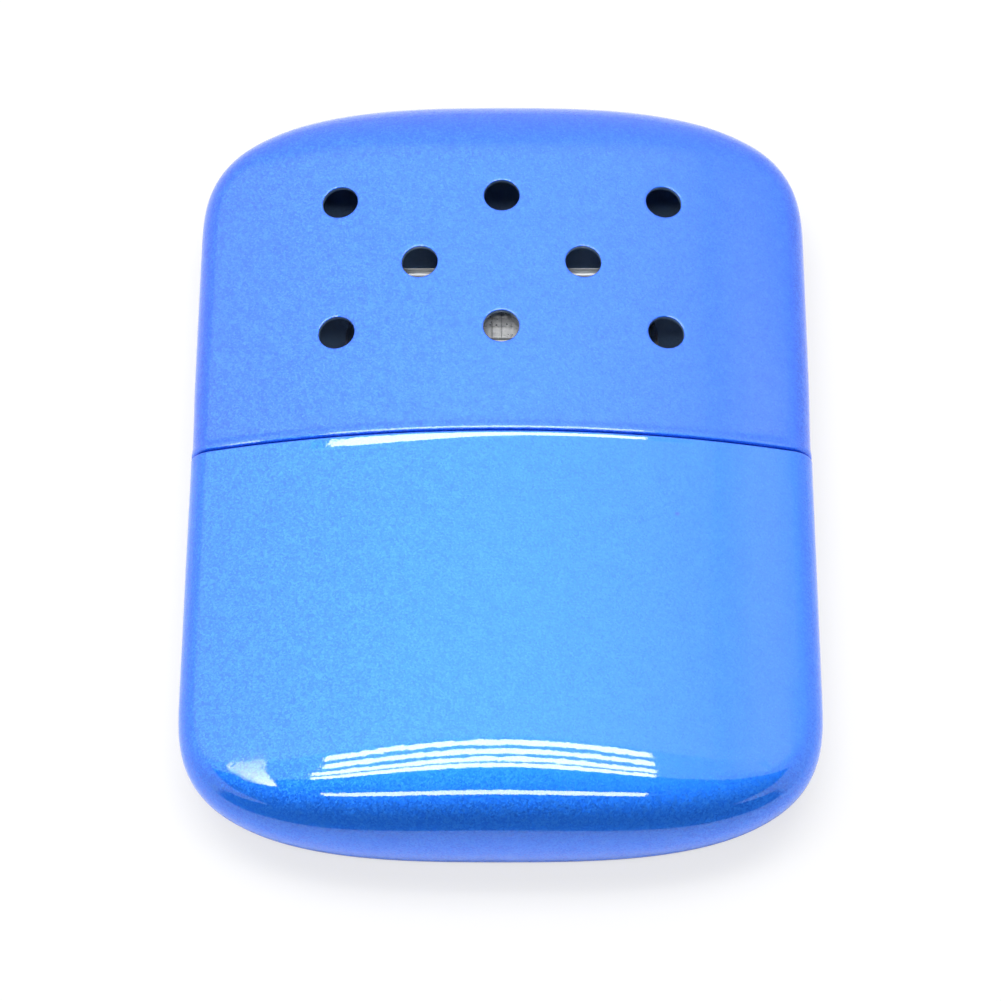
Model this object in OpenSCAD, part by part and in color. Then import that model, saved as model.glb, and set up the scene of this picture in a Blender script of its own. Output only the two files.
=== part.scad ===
// Catalytic hand warmer: a flat fuel tank filled with cotton, a burner that
// pushes onto the tank's oval mouth, and a vented cap that slides over both.
// The warmer lies on its back. X runs across it, Y along it towards the cap's
// end, and Z up through its front face. The origin is the middle of its
// footprint, on the surface that it rests on.

/* [Case] */
// Width across the case
case_w = 58; // [52:0.5:66]
// Length of the closed case, from the tank's end to the cap's end
case_l = 78; // [74:0.5:100]
// Thickness at the middle of the case
case_t = 13; // [12.5:0.25:16]
// Radius of the long side edges, in cross-section
edge_r = 2.6; // [2.2:0.1:3.5]
// Length over which the outline rounds off into each end
corner_reach = 15.4; // [13:0.1:18]
// Squareness of the outline's corners: 2 gives an ellipse
corner_power = 3.05; // [2.4:0.05:3.6]
// Thickness of the drawn sheet of the tank and the cap
sheet_t = 0.5; // [0.4:0.05:0.6]

/* [Seam] */
// Distance of the seam from the middle of the case, towards the cap
seam_y = 0.54; // [-2:0.02:2]
// Gap between the tank's rim and the closed cap's rim
seam_gap = 0.28; // [0.2:0.01:0.4]
// How far the cap's rim is drawn in from the case's surface
cap_tuck = 0.1; // [0.05:0.01:0.15]
// Length over which the cap's rim is drawn in
tuck_reach = 3; // [1:0.5:6]

/* [Vents] */
// Diameter of a vent hole
vent_d = 3.45; // [2.5:0.05:4]
// Distance between vents in a row
vent_pitch = 15.44; // [13:0.02:17]
// Distance between rows of vents
vent_row_pitch = 7.2; // [5:0.1:7.5]
// Distance from the cap's end to the first row of vents
vent_inset = 13; // [12:0.1:15]

/* [Neck] */
// Height of the deck above the seam
neck_rise = 6.5; // [5.5:0.1:8]
// Depth to which the neck reaches into the tank, from the seam
neck_depth = 6; // [4:0.5:9]
// Thickness of the neck and the deck
neck_t = 0.4; // [0.3:0.05:0.5]
// Gap between the neck and the cap's rim
cap_clearance = 0.25; // [0.2:0.01:0.35]
// Gap between the neck and the tank's wall
tank_clearance = 0.05; // [0.03:0.01:0.08]

/* [Mouth] */
// Outside width of the oval ferrule
mouth_w = 19; // [16:0.5:20]
// Outside thickness of the oval ferrule
mouth_t = 6; // [5.6:0.1:6.4]
// Height of the ferrule above the deck
mouth_rise = 4.1; // [3.5:0.1:5]
// Depth of the ferrule below the deck
mouth_drop = 1.7; // [1.4:0.1:2.2]
// Wall of the ferrule
mouth_wall = 0.35; // [0.25:0.05:0.45]
// Width of the ferrule's flange under the deck
flange_w = 1.2; // [0.8:0.1:1.5]
// Thickness of the gauze across the ferrule
gauze_t = 0.2; // [0.15:0.05:0.3]
// Height of the gauze above the ferrule's lower end
gauze_lift = 0.4; // [0.3:0.1:0.6]
// Clearance of pieces that are set in the ferrule
set_clearance = 0.05; // [0.03:0.01:0.1]

/* [Filling] */
// Thickness of the felt wick pad
pad_t = 2.6; // [1.5:0.1:3]
// Gap around the cotton and the felt
filling_gap = 0.25; // [0.2:0.05:0.4]

/* [Burner] */
// Width of the burner's housing
burner_w = 24.4; // [22:0.2:26]
// Height of the burner's housing above its skirt
burner_h = 8.1; // [7:0.05:9.5]
// Gap between the burner and what it seats on
seat_gap = 0.2; // [0.1:0.05:0.3]
// Running clearance between the skirt and the ferrule
skirt_fit = 0.1; // [0.06:0.01:0.15]
// Wall of the skirt
skirt_wall = 0.35; // [0.3:0.05:0.45]
// Thickness of the front and back frames
frame_t = 0.4; // [0.3:0.05:0.5]
// Thickness of the folded band and the base plate
band_t = 0.3; // [0.2:0.05:0.4]
// Width of the frames' side rails
side_rail = 1.3; // [0.8:0.1:2]
// Width of the frames' top rails
top_rail = 0.55; // [0.4:0.05:1]
// Width of the frames' bottom rails
bottom_rail = 0.7; // [0.5:0.05:1]
// Radius of the windows' corners
window_r = 0.6; // [0.3:0.1:1]
// Diameter of the vapour holes in the base plate
vapour_d = 1.6; // [1:0.1:2]
// Distance between vapour holes
vapour_pitch = 2.6; // [2.4:0.1:3]

/* [Catalyst] */
// Thickness of the wire screens
screen_t = 0.25; // [0.2:0.05:0.35]
// Width of a gap in the screens and the gauze
mesh_gap = 0.75; // [0.5:0.05:0.9]
// Distance between gaps in the screens and the gauze
mesh_pitch = 1.1; // [1:0.05:1.4]
// Thickness of the spacer between the two layers of fibre
spacer_t = 0.3; // [0.2:0.05:0.5]
// Clearance around the fibre
fibre_gap = 0.1; // [0.05:0.05:0.2]

/* [Side springs] */
// Thickness of a leaf spring
spring_t = 0.25; // [0.2:0.05:0.35]
// Width of a leaf spring
spring_w = 3; // [2:0.2:4]
// How far a spring bows out from the housing
spring_bow = 2.6; // [1.5:0.1:3]
// Half of the length of a spring's bow
spring_half = 4.6; // [4:0.1:5.2]
// Length of the flat tab above a spring's bow
tab_h = 1.6; // [1.4:0.1:2]
// Diameter of a rivet's shank
rivet_d = 0.8; // [0.6:0.05:0.9]
// Diameter of a rivet's head
rivet_head_d = 1.3; // [1.1:0.05:1.4]
// Thickness of a rivet's head
rivet_head_t = 0.3; // [0.2:0.05:0.4]
// Clearance around a rivet's shank
rivet_clearance = 0.03; // [0.02:0.01:0.05]

/* [Hidden] */
$fn = 48;

// Smoothness of the shells: steps along a face, over half of an edge and round
// an end. An odd number of face steps leaves a flat strip along its middle.
face_steps = 15;
edge_steps = 6;
end_steps = 16;
cotton_steps = 9;

// Middle of the thickness
mid_z = case_t / 2;

// The case is the envelope of spheres that stand on its middle plane. Across the
// case each sphere touches both face arcs, so it shrinks from half of the
// thickness at the middle to the edge radius at the sides. The spheres along the
// outline give it its full round edge, which is thick at the ends' middle.
edge_x = case_w / 2 - edge_r;
face_r = (edge_x * edge_x - edge_r * edge_r + mid_z * mid_z) / (2 * (mid_z - edge_r));
face_drop = face_r - mid_z;

// Where the outline begins to round off into an end
corner_y = case_l / 2 - corner_reach;

// Levels along the case, from the tank to the cap
tank_rim_y = seam_y - seam_gap / 2;
cap_rim_y = seam_y + seam_gap / 2;
deck_y = seam_y + neck_rise;
neck_low_y = tank_rim_y - neck_depth;
mouth_top_y = deck_y + mouth_rise;
mouth_low_y = deck_y - neck_t - mouth_drop;
gauze_y = mouth_low_y + gauze_lift;
pad_top_y = mouth_low_y - filling_gap;
cotton_top_y = pad_top_y - pad_t - filling_gap;
skirt_low_y = deck_y + seat_gap;
base_y = mouth_top_y + seat_gap;
burner_top_y = base_y + burner_h;
band_low_y = base_y + band_t;
fibre_low_y = band_low_y + fibre_gap;
fibre_top_y = burner_top_y - band_t - fibre_gap;

// How far the neck's outside lies in from the case's surface
neck_inset_low = sheet_t + tank_clearance;
neck_inset_high = sheet_t + cap_tuck + cap_clearance;
deck_inset = neck_inset_high + neck_t + tank_clearance;
cotton_inset = sheet_t + filling_gap;
filling_inset = max(neck_inset_low, neck_inset_high) + neck_t + filling_gap;

// The burner's thickness is the skirt's outside thickness
skirt_w = mouth_w + 2 * (skirt_fit + skirt_wall);
burner_t = mouth_t + 2 * (skirt_fit + skirt_wall);
band_w = burner_t - 2 * frame_t;
screen_z = band_w / 2 - screen_t;
band_inside_x = burner_w / 2 - band_t;
fibre_w = 2 * (band_inside_x - rivet_head_t - 2 * fibre_gap);
fibre_z = screen_z - fibre_gap;

// Springs: the outer arc passes the housing's side at the ends of the bow
spring_root_x = burner_w / 2 + spring_t;
spring_r = (pow(spring_half, 2) + pow(spring_bow - spring_t, 2)) / (2 * (spring_bow - spring_t));
tab_top_y = burner_top_y - band_t;
spring_mid_y = tab_top_y - tab_h - spring_half;
rivet_y = tab_top_y - tab_h / 2;

// Radius of the sphere that touches the outline at b, where the outline faces n
function ball_r(b, n) =
    let (p = face_r - n.x * b.x,
        q = face_r * face_r - b.x * b.x - face_drop * face_drop)
    q / (p + sqrt(p * p - (1 - n.x * n.x) * q));

// Unit vector a share of the way round from one unit vector to another
function turned(from, to, share) =
    let (angle = acos(from * to))
    (sin((1 - share) * angle) * from + sin(share * angle) * to) / sin(angle);

// Ring round the case, drawn in by an inset: along the front face, over the right
// edge, along the back face and over the left edge. c and r are the centre and
// radius of the sphere at the right edge, and n is the way the outline faces there.
function ring(c, r, n, inset) =
    let (lean = atan2(c.x, face_drop),
        up = [sin(lean), 0, cos(lean)],
        out = [n.x, n.y, 0],
        face = [for (i = [0:face_steps])
            let (a = lean * (2 * i / face_steps - 1))
            [(face_r - inset) * sin(a), c.y, (face_r - inset) * cos(a) - face_drop]],
        edge = [for (i = [1:2 * edge_steps - 1])
            let (d = (r - inset) * turned(up, out, 1 - abs(1 - i / edge_steps)))
            [c.x + d.x, c.y + d.y, i > edge_steps ? -d.z : d.z]],
        half = concat(face, edge))
    concat([for (p = half) [p.x, p.y, mid_z + p.z]],
        [for (p = half) [-p.x, p.y, mid_z - p.z]]);

// Ring between the two ends, where the case's sides are straight
function side_ring(y, inset) = ring([edge_x, y], edge_r, [1, 0], inset);

// Ring in the rounded end: 0 is where the end begins, 90 the middle of its edge
function end_ring(turn, inset) =
    let (across = case_w / 2,
        b = [across * pow(cos(turn), 2 / corner_power),
            corner_y + corner_reach * pow(sin(turn), 2 / corner_power)],
        g = [pow(cos(turn), 2 - 2 / corner_power) / across,
            pow(sin(turn), 2 - 2 / corner_power) / corner_reach],
        n = g / norm(g),
        r = ball_r(b, n))
    ring(b - r * n, r, n, inset);

function end_rings(inset, steps) = [for (i = [0:steps - 1]) end_ring(90 * i / steps, inset)];

// The last ring of an end is folded flat into the line over the edge's middle
function end_line(inset) =
    let (folded = end_ring(90, inset))
    [for (i = [0:2 * edge_steps]) folded[face_steps + i]];

function rim_rings(rim_y, tuck, inset) =
    concat([side_ring(rim_y, inset + tuck), side_ring(rim_y + tuck_reach, inset)],
        end_rings(inset, end_steps));

function reversed(list) = [for (i = [len(list) - 1:-1:0]) list[i]];

// Point of an end that a ring's point j runs to: a tip, or a place on a folded line
function end_index(j, count) =
    let (half = face_steps + 2 * edge_steps, step = max(0, j % half - face_steps))
    count == 1 ? 0 : j < half ? step : 2 * edge_steps - step;

// Closed skin through rings of equal length. Each end is a tip or a folded line.
module skin(start, rings, finish) {
    n = len(rings[0]);
    m = len(rings);
    s = len(start);
    last = s + (m - 1) * n;
    f = last + n;
    start_faces = [for (j = [0:n - 1])
        let (k = (j + 1) % n, a = end_index(j, s), b = end_index(k, s))
        each a == b ? [[a, s + k, s + j]] : [[a, s + k, s + j], [a, b, s + k]]];
    sides = [for (i = [0:m - 2], j = [0:n - 1])
        let (a = s + i * n + j, b = s + i * n + (j + 1) % n)
        each [[a, b, b + n], [a, b + n, a + n]]];
    finish_faces = [for (j = [0:n - 1])
        let (k = (j + 1) % n, a = end_index(j, len(finish)), b = end_index(k, len(finish)))
        each a == b ? [[last + j, last + k, f + a]]
            : [[last + j, last + k, f + b], [last + j, f + b, f + a]]];
    polyhedron(concat(start, [for (r = rings) each r], finish),
        concat(start_faces, sides, finish_faces), convexity = 6);
}

// Half of the case as an open shell, from a rim to the end on +Y
module half_shell(rim_y, tuck) {
    outer = rim_rings(rim_y, tuck, 0);
    inner = rim_rings(rim_y, tuck, sheet_t);
    skin(end_line(0), concat(reversed(outer), inner), end_line(sheet_t));
}

// Extrudes a shape that is drawn across the case from one level to another
module along_y(low_y, high_y) {
    translate([0, high_y, mid_z])
        rotate([90, 0, 0])
            linear_extrude(high_y - low_y)
                children();
}

// The case's cross-section between the ends, drawn in by an inset
module section(inset) {
    polygon([for (p = side_ring(0, inset)) [p.x, p.z - mid_z]]);
}

module oval(w, t) {
    square([w - t, t], center = true);
    for (side = [-1, 1])
        translate([side * (w - t) / 2, 0])
            circle(d = t);
}

module rounded_window(w, h, r) {
    square([w - 2 * r, h], center = true);
    square([w, h - 2 * r], center = true);
    for (x = [-1, 1], y = [-1, 1])
        translate([x * (w / 2 - r), y * (h / 2 - r)])
            circle(r = r);
}

// Rows of square gaps, centred, as many as fit with a border
module mesh_gaps(w, h, border) {
    nx = floor((w - 2 * border + mesh_pitch - mesh_gap) / mesh_pitch);
    ny = floor((h - 2 * border + mesh_pitch - mesh_gap) / mesh_pitch);
    for (i = [0:nx - 1], j = [0:ny - 1])
        translate([(i - (nx - 1) / 2) * mesh_pitch, (j - (ny - 1) / 2) * mesh_pitch])
            square(mesh_gap, center = true);
}

module vents() {
    for (row = [0:2]) {
        count = row == 1 ? 2 : 3;
        for (i = [0:count - 1])
            translate([(i - (count - 1) / 2) * vent_pitch,
                case_l / 2 - vent_inset - row * vent_row_pitch, -1])
                cylinder(d = vent_d, h = case_t + 2);
    }
}

// ---- Tank ----

module tank_shell() {
    color([0.15, 0.45, 0.95])
        mirror([0, 1, 0])
            half_shell(-tank_rim_y, 0);
}

// Plated collar: its lower part sits in the tank, its upper part guides the cap
module neck_collar() {
    color([0.80, 0.80, 0.82]) {
        along_y(neck_low_y, tank_rim_y)
            difference() {
                section(neck_inset_low);
                section(neck_inset_high + neck_t);
            }
        along_y(tank_rim_y, deck_y)
            difference() {
                section(neck_inset_high);
                section(neck_inset_high + neck_t);
            }
    }
}

module deck_plate() {
    color([0.74, 0.75, 0.77])
        along_y(deck_y - neck_t, deck_y)
            difference() {
                section(deck_inset);
                oval(mouth_w + 2 * set_clearance, mouth_t + 2 * set_clearance);
            }
}

module mouth_ferrule() {
    color([0.80, 0.80, 0.82])
        difference() {
            union() {
                along_y(mouth_low_y, mouth_top_y)
                    oval(mouth_w, mouth_t);
                along_y(deck_y - 2 * neck_t, deck_y - neck_t)
                    oval(mouth_w + 2 * flange_w, mouth_t + 2 * flange_w);
            }
            along_y(mouth_low_y - 1, mouth_top_y + 1)
                oval(mouth_w - 2 * mouth_wall, mouth_t - 2 * mouth_wall);
        }
}

module mouth_gauze() {
    gauze_w = mouth_w - 2 * (mouth_wall + set_clearance);
    gauze_h = mouth_t - 2 * (mouth_wall + set_clearance);
    color([0.60, 0.60, 0.58])
        along_y(gauze_y, gauze_y + gauze_t)
            difference() {
                oval(gauze_w, gauze_h);
                mesh_gaps(gauze_w - gauze_h / 2, gauze_h, mesh_gap);
            }
}

// Felt pad below the mouth, with an oval boss that reaches up to the gauze
module wick_pad() {
    boss_w = mouth_w - 2 * (mouth_wall + filling_gap);
    boss_t = mouth_t - 2 * (mouth_wall + filling_gap);
    color([0.90, 0.89, 0.84]) {
        along_y(pad_top_y - pad_t, pad_top_y)
            section(filling_inset);
        along_y(pad_top_y, gauze_y - set_clearance)
            oval(boss_w, boss_t);
    }
}

module cotton_fill() {
    step_y = -(neck_low_y - filling_gap);
    color([0.96, 0.95, 0.92])
        mirror([0, 1, 0])
            skin(end_line(cotton_inset),
                concat(reversed(end_rings(cotton_inset, cotton_steps)),
                    [side_ring(step_y, cotton_inset),
                        side_ring(step_y - filling_gap, filling_inset),
                        side_ring(-cotton_top_y, filling_inset)]),
                [[0, -cotton_top_y, mid_z]]);
}

// ---- Burner ----

module burner_skirt() {
    color([0.78, 0.78, 0.80])
        along_y(skirt_low_y, base_y)
            difference() {
                oval(skirt_w, burner_t);
                oval(mouth_w + 2 * skirt_fit, mouth_t + 2 * skirt_fit);
            }
}

module burner_base() {
    holes = floor((mouth_w - mouth_t) / vapour_pitch);
    color([0.70, 0.70, 0.72])
        along_y(base_y, band_low_y)
            difference() {
                square([burner_w, band_w], center = true);
                for (i = [0:holes - 1])
                    translate([(i - (holes - 1) / 2) * vapour_pitch, 0])
                        circle(d = vapour_d);
            }
}

// Strip folded into the two ends and the top of the housing
module burner_band() {
    height = burner_top_y - band_low_y;
    color([0.78, 0.78, 0.80])
        difference() {
            translate([-burner_w / 2, band_low_y, mid_z - band_w / 2])
                cube([burner_w, height, band_w]);
            translate([-band_inside_x, band_low_y - 1, mid_z - band_w])
                cube([2 * band_inside_x, height - band_t + 1, 2 * band_w]);
            translate([0, rivet_y, mid_z])
                rotate([0, 90, 0])
                    cylinder(r = rivet_d / 2 + rivet_clearance, h = 2 * burner_w, center = true);
        }
}

// Frame plate with its window, drawn around the middle of the housing's face
module frame_plate() {
    window_h = burner_h - top_rail - bottom_rail;
    linear_extrude(frame_t)
        difference() {
            translate([-burner_w / 2, base_y])
                square([burner_w, burner_h]);
            translate([0, base_y + bottom_rail + window_h / 2])
                rounded_window(burner_w - 2 * side_rail, window_h, window_r);
        }
}

module burner_frame_front() {
    color([0.82, 0.82, 0.84])
        translate([0, 0, mid_z + band_w / 2])
            frame_plate();
}

module burner_frame_back() {
    color([0.82, 0.82, 0.84])
        translate([0, 0, mid_z - burner_t / 2])
            frame_plate();
}

module screen_plate() {
    height = burner_top_y - band_t - band_low_y;
    translate([0, band_low_y + height / 2, 0])
        linear_extrude(screen_t)
            difference() {
                square([fibre_w, height], center = true);
                mesh_gaps(fibre_w, height, mesh_pitch - mesh_gap);
            }
}

module screen_front() {
    color([0.55, 0.56, 0.56])
        translate([0, 0, mid_z + screen_z])
            screen_plate();
}

module screen_back() {
    color([0.55, 0.56, 0.56])
        translate([0, 0, mid_z - screen_z - screen_t])
            screen_plate();
}

// One layer of fibre between the spacer and a screen
module fibre_layer() {
    depth = fibre_z - spacer_t / 2 - fibre_gap;
    translate([-fibre_w / 2, fibre_low_y, spacer_t / 2 + fibre_gap])
        cube([fibre_w, fibre_top_y - fibre_low_y, depth]);
}

module catalyst_fibre_front() {
    color([0.93, 0.93, 0.92])
        translate([0, 0, mid_z])
            fibre_layer();
}

module catalyst_fibre_back() {
    color([0.93, 0.93, 0.92])
        translate([0, 0, mid_z])
            mirror([0, 0, 1])
                fibre_layer();
}

module fibre_spacer() {
    height = burner_top_y - band_t - band_low_y;
    color([0.60, 0.60, 0.62])
        translate([0, band_low_y + height / 2, mid_z - spacer_t / 2])
            linear_extrude(spacer_t)
                difference() {
                    square([fibre_w, height], center = true);
                    mesh_gaps(fibre_w - 2 * side_rail, height / 2, mesh_gap);
                }
}

// Leaf spring on the +X side: a flat tab and a bow below it
module side_spring() {
    translate([0, 0, mid_z - spring_w / 2])
        difference() {
            linear_extrude(spring_w) {
                translate([burner_w / 2, tab_top_y - tab_h])
                    square([spring_t, tab_h]);
                intersection() {
                    translate([burner_w / 2 + spring_bow - spring_r, spring_mid_y])
                        difference() {
                            circle(r = spring_r, $fn = 96);
                            circle(r = spring_r - spring_t, $fn = 96);
                        }
                    translate([burner_w / 2, spring_mid_y - 2 * spring_half])
                        square([2 * spring_bow, 3 * spring_half]);
                }
            }
            translate([burner_w / 2, rivet_y, spring_w / 2])
                rotate([0, 90, 0])
                    cylinder(r = rivet_d / 2 + rivet_clearance, h = 2, center = true);
        }
}

module side_spring_right() {
    color([0.84, 0.84, 0.86])
        side_spring();
}

module side_spring_left() {
    color([0.84, 0.84, 0.86])
        mirror([1, 0, 0])
            side_spring();
}

module spring_rivets() {
    head_x = spring_root_x;
    color([0.66, 0.66, 0.67])
        for (side = [0, 1])
            mirror([side, 0, 0])
                translate([0, rivet_y, mid_z])
                    rotate([0, 90, 0]) {
                        translate([0, 0, band_inside_x - rivet_head_t])
                            cylinder(d = rivet_head_d, h = rivet_head_t);
                        translate([0, 0, band_inside_x - rivet_head_t])
                            cylinder(d = rivet_d, h = head_x - band_inside_x + 2 * rivet_head_t);
                        translate([0, 0, head_x])
                            cylinder(d = rivet_head_d, h = rivet_head_t);
                    }
}

// ---- Cap ----

module cap_shell() {
    color([0.28, 0.38, 0.92])
        difference() {
            half_shell(cap_rim_y, cap_tuck);
            vents();
        }
}

tank_shell();
neck_collar();
deck_plate();
mouth_ferrule();
mouth_gauze();
wick_pad();
cotton_fill();
burner_skirt();
burner_base();
burner_band();
burner_frame_front();
burner_frame_back();
screen_front();
screen_back();
catalyst_fibre_front();
catalyst_fibre_back();
fibre_spacer();
side_spring_left();
side_spring_right();
spring_rivets();
cap_shell();
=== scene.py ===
import math

import bmesh
import bpy
import numpy as np
from mathutils import Matrix, Vector
from mathutils.geometry import delaunay_2d_cdt


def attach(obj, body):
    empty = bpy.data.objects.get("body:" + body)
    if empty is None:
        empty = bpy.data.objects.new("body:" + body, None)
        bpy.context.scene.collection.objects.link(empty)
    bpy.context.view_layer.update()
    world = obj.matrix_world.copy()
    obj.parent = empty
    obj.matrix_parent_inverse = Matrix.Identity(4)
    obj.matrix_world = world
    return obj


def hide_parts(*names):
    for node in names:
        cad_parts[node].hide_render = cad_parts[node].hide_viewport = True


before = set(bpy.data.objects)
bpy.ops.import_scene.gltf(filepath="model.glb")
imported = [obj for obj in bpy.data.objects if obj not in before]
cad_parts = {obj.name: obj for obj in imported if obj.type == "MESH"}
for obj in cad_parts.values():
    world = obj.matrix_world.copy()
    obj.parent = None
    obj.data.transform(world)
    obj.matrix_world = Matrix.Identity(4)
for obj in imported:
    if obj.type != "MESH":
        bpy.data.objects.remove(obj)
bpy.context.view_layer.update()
MM = 0.001

# ---- The case's sizes, as in the CAD source ----
CASE_W, CASE_L, CASE_T = 58.0, 78.0, 13.0
EDGE_R, REACH, POWER, SHEET = 2.6, 15.4, 3.05, 0.5
TUBE = 32  # steps round the edge of the case, from face to face
SEAM_Y, SEAM_GAP = 0.54, 0.28
VENT_R, VENT_PITCH, VENT_ROW, VENT_INSET = 1.675, 15.44, 7.2, 13.0
MID_Z = CASE_T / 2
EDGE_X = CASE_W / 2 - EDGE_R
FACE_R = (EDGE_X**2 - EDGE_R**2 + MID_Z**2) / (2 * (MID_Z - EDGE_R))
FACE_DROP = FACE_R - MID_Z
CORNER_Y = CASE_L / 2 - REACH


# ---- The rims at the seam and the vents' lips ----
RIM_E = 0.16  # depth of a rim's rounding along the case
# The rims' rounded edges reach a little into the seam's gap
TANK_RIM, CAP_RIM = SEAM_Y - 0.06, SEAM_Y + 0.06
# Rows of points behind a rim, close together where the sheet bends
RIM_ROWS = (0.22, 0.28, 0.34, 0.4, 0.5, 0.62, 0.75, 0.9, 1.05, 1.2, 1.4, 1.6, 1.8, 2.1, 2.4, 3.1)
VENT_STEPS, VENT_KEEP = 44, 0.34  # points round a vent, and width of the ring left round it
BARE_BELOW = 0.1  # depth of a vent's wall past which no paint is left
# A vent's wall, from the outer to the inner layer: how far out, how deep
VENT_LIP = (
    (0.16, 0.004), (0.1, 0.014), (0.055, 0.034), (0.025, 0.066), (0.006, 0.11), (0.0, 0.17),
    (0.0, 0.24), (0.0, 0.36), (0.004, 0.41), (0.03, 0.46), (0.08, 0.489), (0.2, SHEET),
)


# ---- Mesh helpers ----
def make_object(name, points, faces, body=None, replaces=(), mat=None, smooth=True):
    mesh = bpy.data.meshes.new(name)
    mesh.from_pydata((np.asarray(points) * MM).tolist(), [], faces)
    mesh.validate()
    mesh.update()
    obj = bpy.data.objects.new(name, mesh)
    bpy.context.scene.collection.objects.link(obj)
    mesh.polygons.foreach_set("use_smooth", [smooth] * len(mesh.polygons))
    if mat:
        mesh.materials.append(mat)
    if body:
        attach(obj, body)
    if replaces:
        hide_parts(*replaces)
    return obj


def loft(rings, closed=True):
    """Quads between equal rings of point indices, and round each ring if closed."""
    faces = []
    n = len(rings[0])
    for a, b in zip(rings, rings[1:]):
        for j in range(n if closed else n - 1):
            k = (j + 1) % n
            faces.append((a[j], a[k], b[k], b[j]))
    return faces


def outward(obj):
    bm = bmesh.new()
    bm.from_mesh(obj.data)
    bmesh.ops.recalc_face_normals(bm, faces=bm.faces)
    loose = sum(1 for e in bm.edges if len(e.link_faces) != 2)
    print("open edges in", obj.name, loose, "volume mm3", bm.calc_volume() * 1e9)
    bm.to_mesh(obj.data)
    bm.free()


def sharpen(obj, degrees):
    """Edges bent by more than this stay crisp."""
    obj.data.set_sharp_from_angle(angle=math.radians(degrees))


# ---- The full-round case ----
def ball(bx, nx):
    p = FACE_R - nx * bx
    q = FACE_R**2 - bx**2 - FACE_DROP**2
    return q / (p + math.sqrt(max(0.0, p * p - (1 - nx * nx) * q)))


def stations(rim_y, end_steps=56):
    """Spheres along the outline from the right rim round the end to the left rim."""
    out = []
    ys = [rim_y + RIM_E] + [rim_y + v for v in RIM_ROWS]
    ys += list(np.linspace(rim_y + 4, CORNER_Y, 24)[:-1])
    for y in ys:
        out.append((EDGE_X, y, EDGE_R, 1.0, 0.0))
    for i in range(end_steps):
        t = math.pi / 2 * i / end_steps
        c, s = math.cos(t), math.sin(t)
        bx = CASE_W / 2 * c ** (2 / POWER)
        by = CORNER_Y + REACH * s ** (2 / POWER)
        gx = c ** (2 - 2 / POWER) / (CASE_W / 2)
        gy = s ** (2 - 2 / POWER) / REACH
        g = math.hypot(gx, gy)
        nx, ny = gx / g, gy / g
        r = ball(bx, nx)
        out.append((bx - r * nx, by - r * ny, r, nx, ny))
    left = [(-x, y, r, -nx, ny) for x, y, r, nx, ny in reversed(out)]
    return out + [(0.0, CASE_L / 2 - MID_Z, MID_Z, 0.0, 1.0)] + left



def tube_dirs(x, nx, ny):
    """Unit vectors from straight up off the face, over the edge, to straight down."""
    lean = math.atan2(x, FACE_DROP)
    up = np.array([math.sin(lean), 0, math.cos(lean)])
    out = np.array([nx, ny, 0.0])
    ang = math.acos(float(up @ out))
    half = TUBE // 2
    w = np.arange(half + 1) / half
    d = (np.sin((1 - w) * ang)[:, None] * up + np.sin(w * ang)[:, None] * out) / math.sin(ang)
    mirrored = d[::-1][1:] * [1, 1, -1]
    arc = np.concatenate([w, 2 - w[::-1][1:]]) * ang
    return np.concatenate([d, mirrored]), arc


def face_point(x, y, depth=0.0):
    """Point of the front face over plan position (x, y), and its normal."""
    s = x / FACE_R
    n = np.array([s, 0.0, math.sqrt(1 - s * s)])
    return np.array([0, y, -FACE_DROP]) + (FACE_R - depth) * n, n


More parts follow.
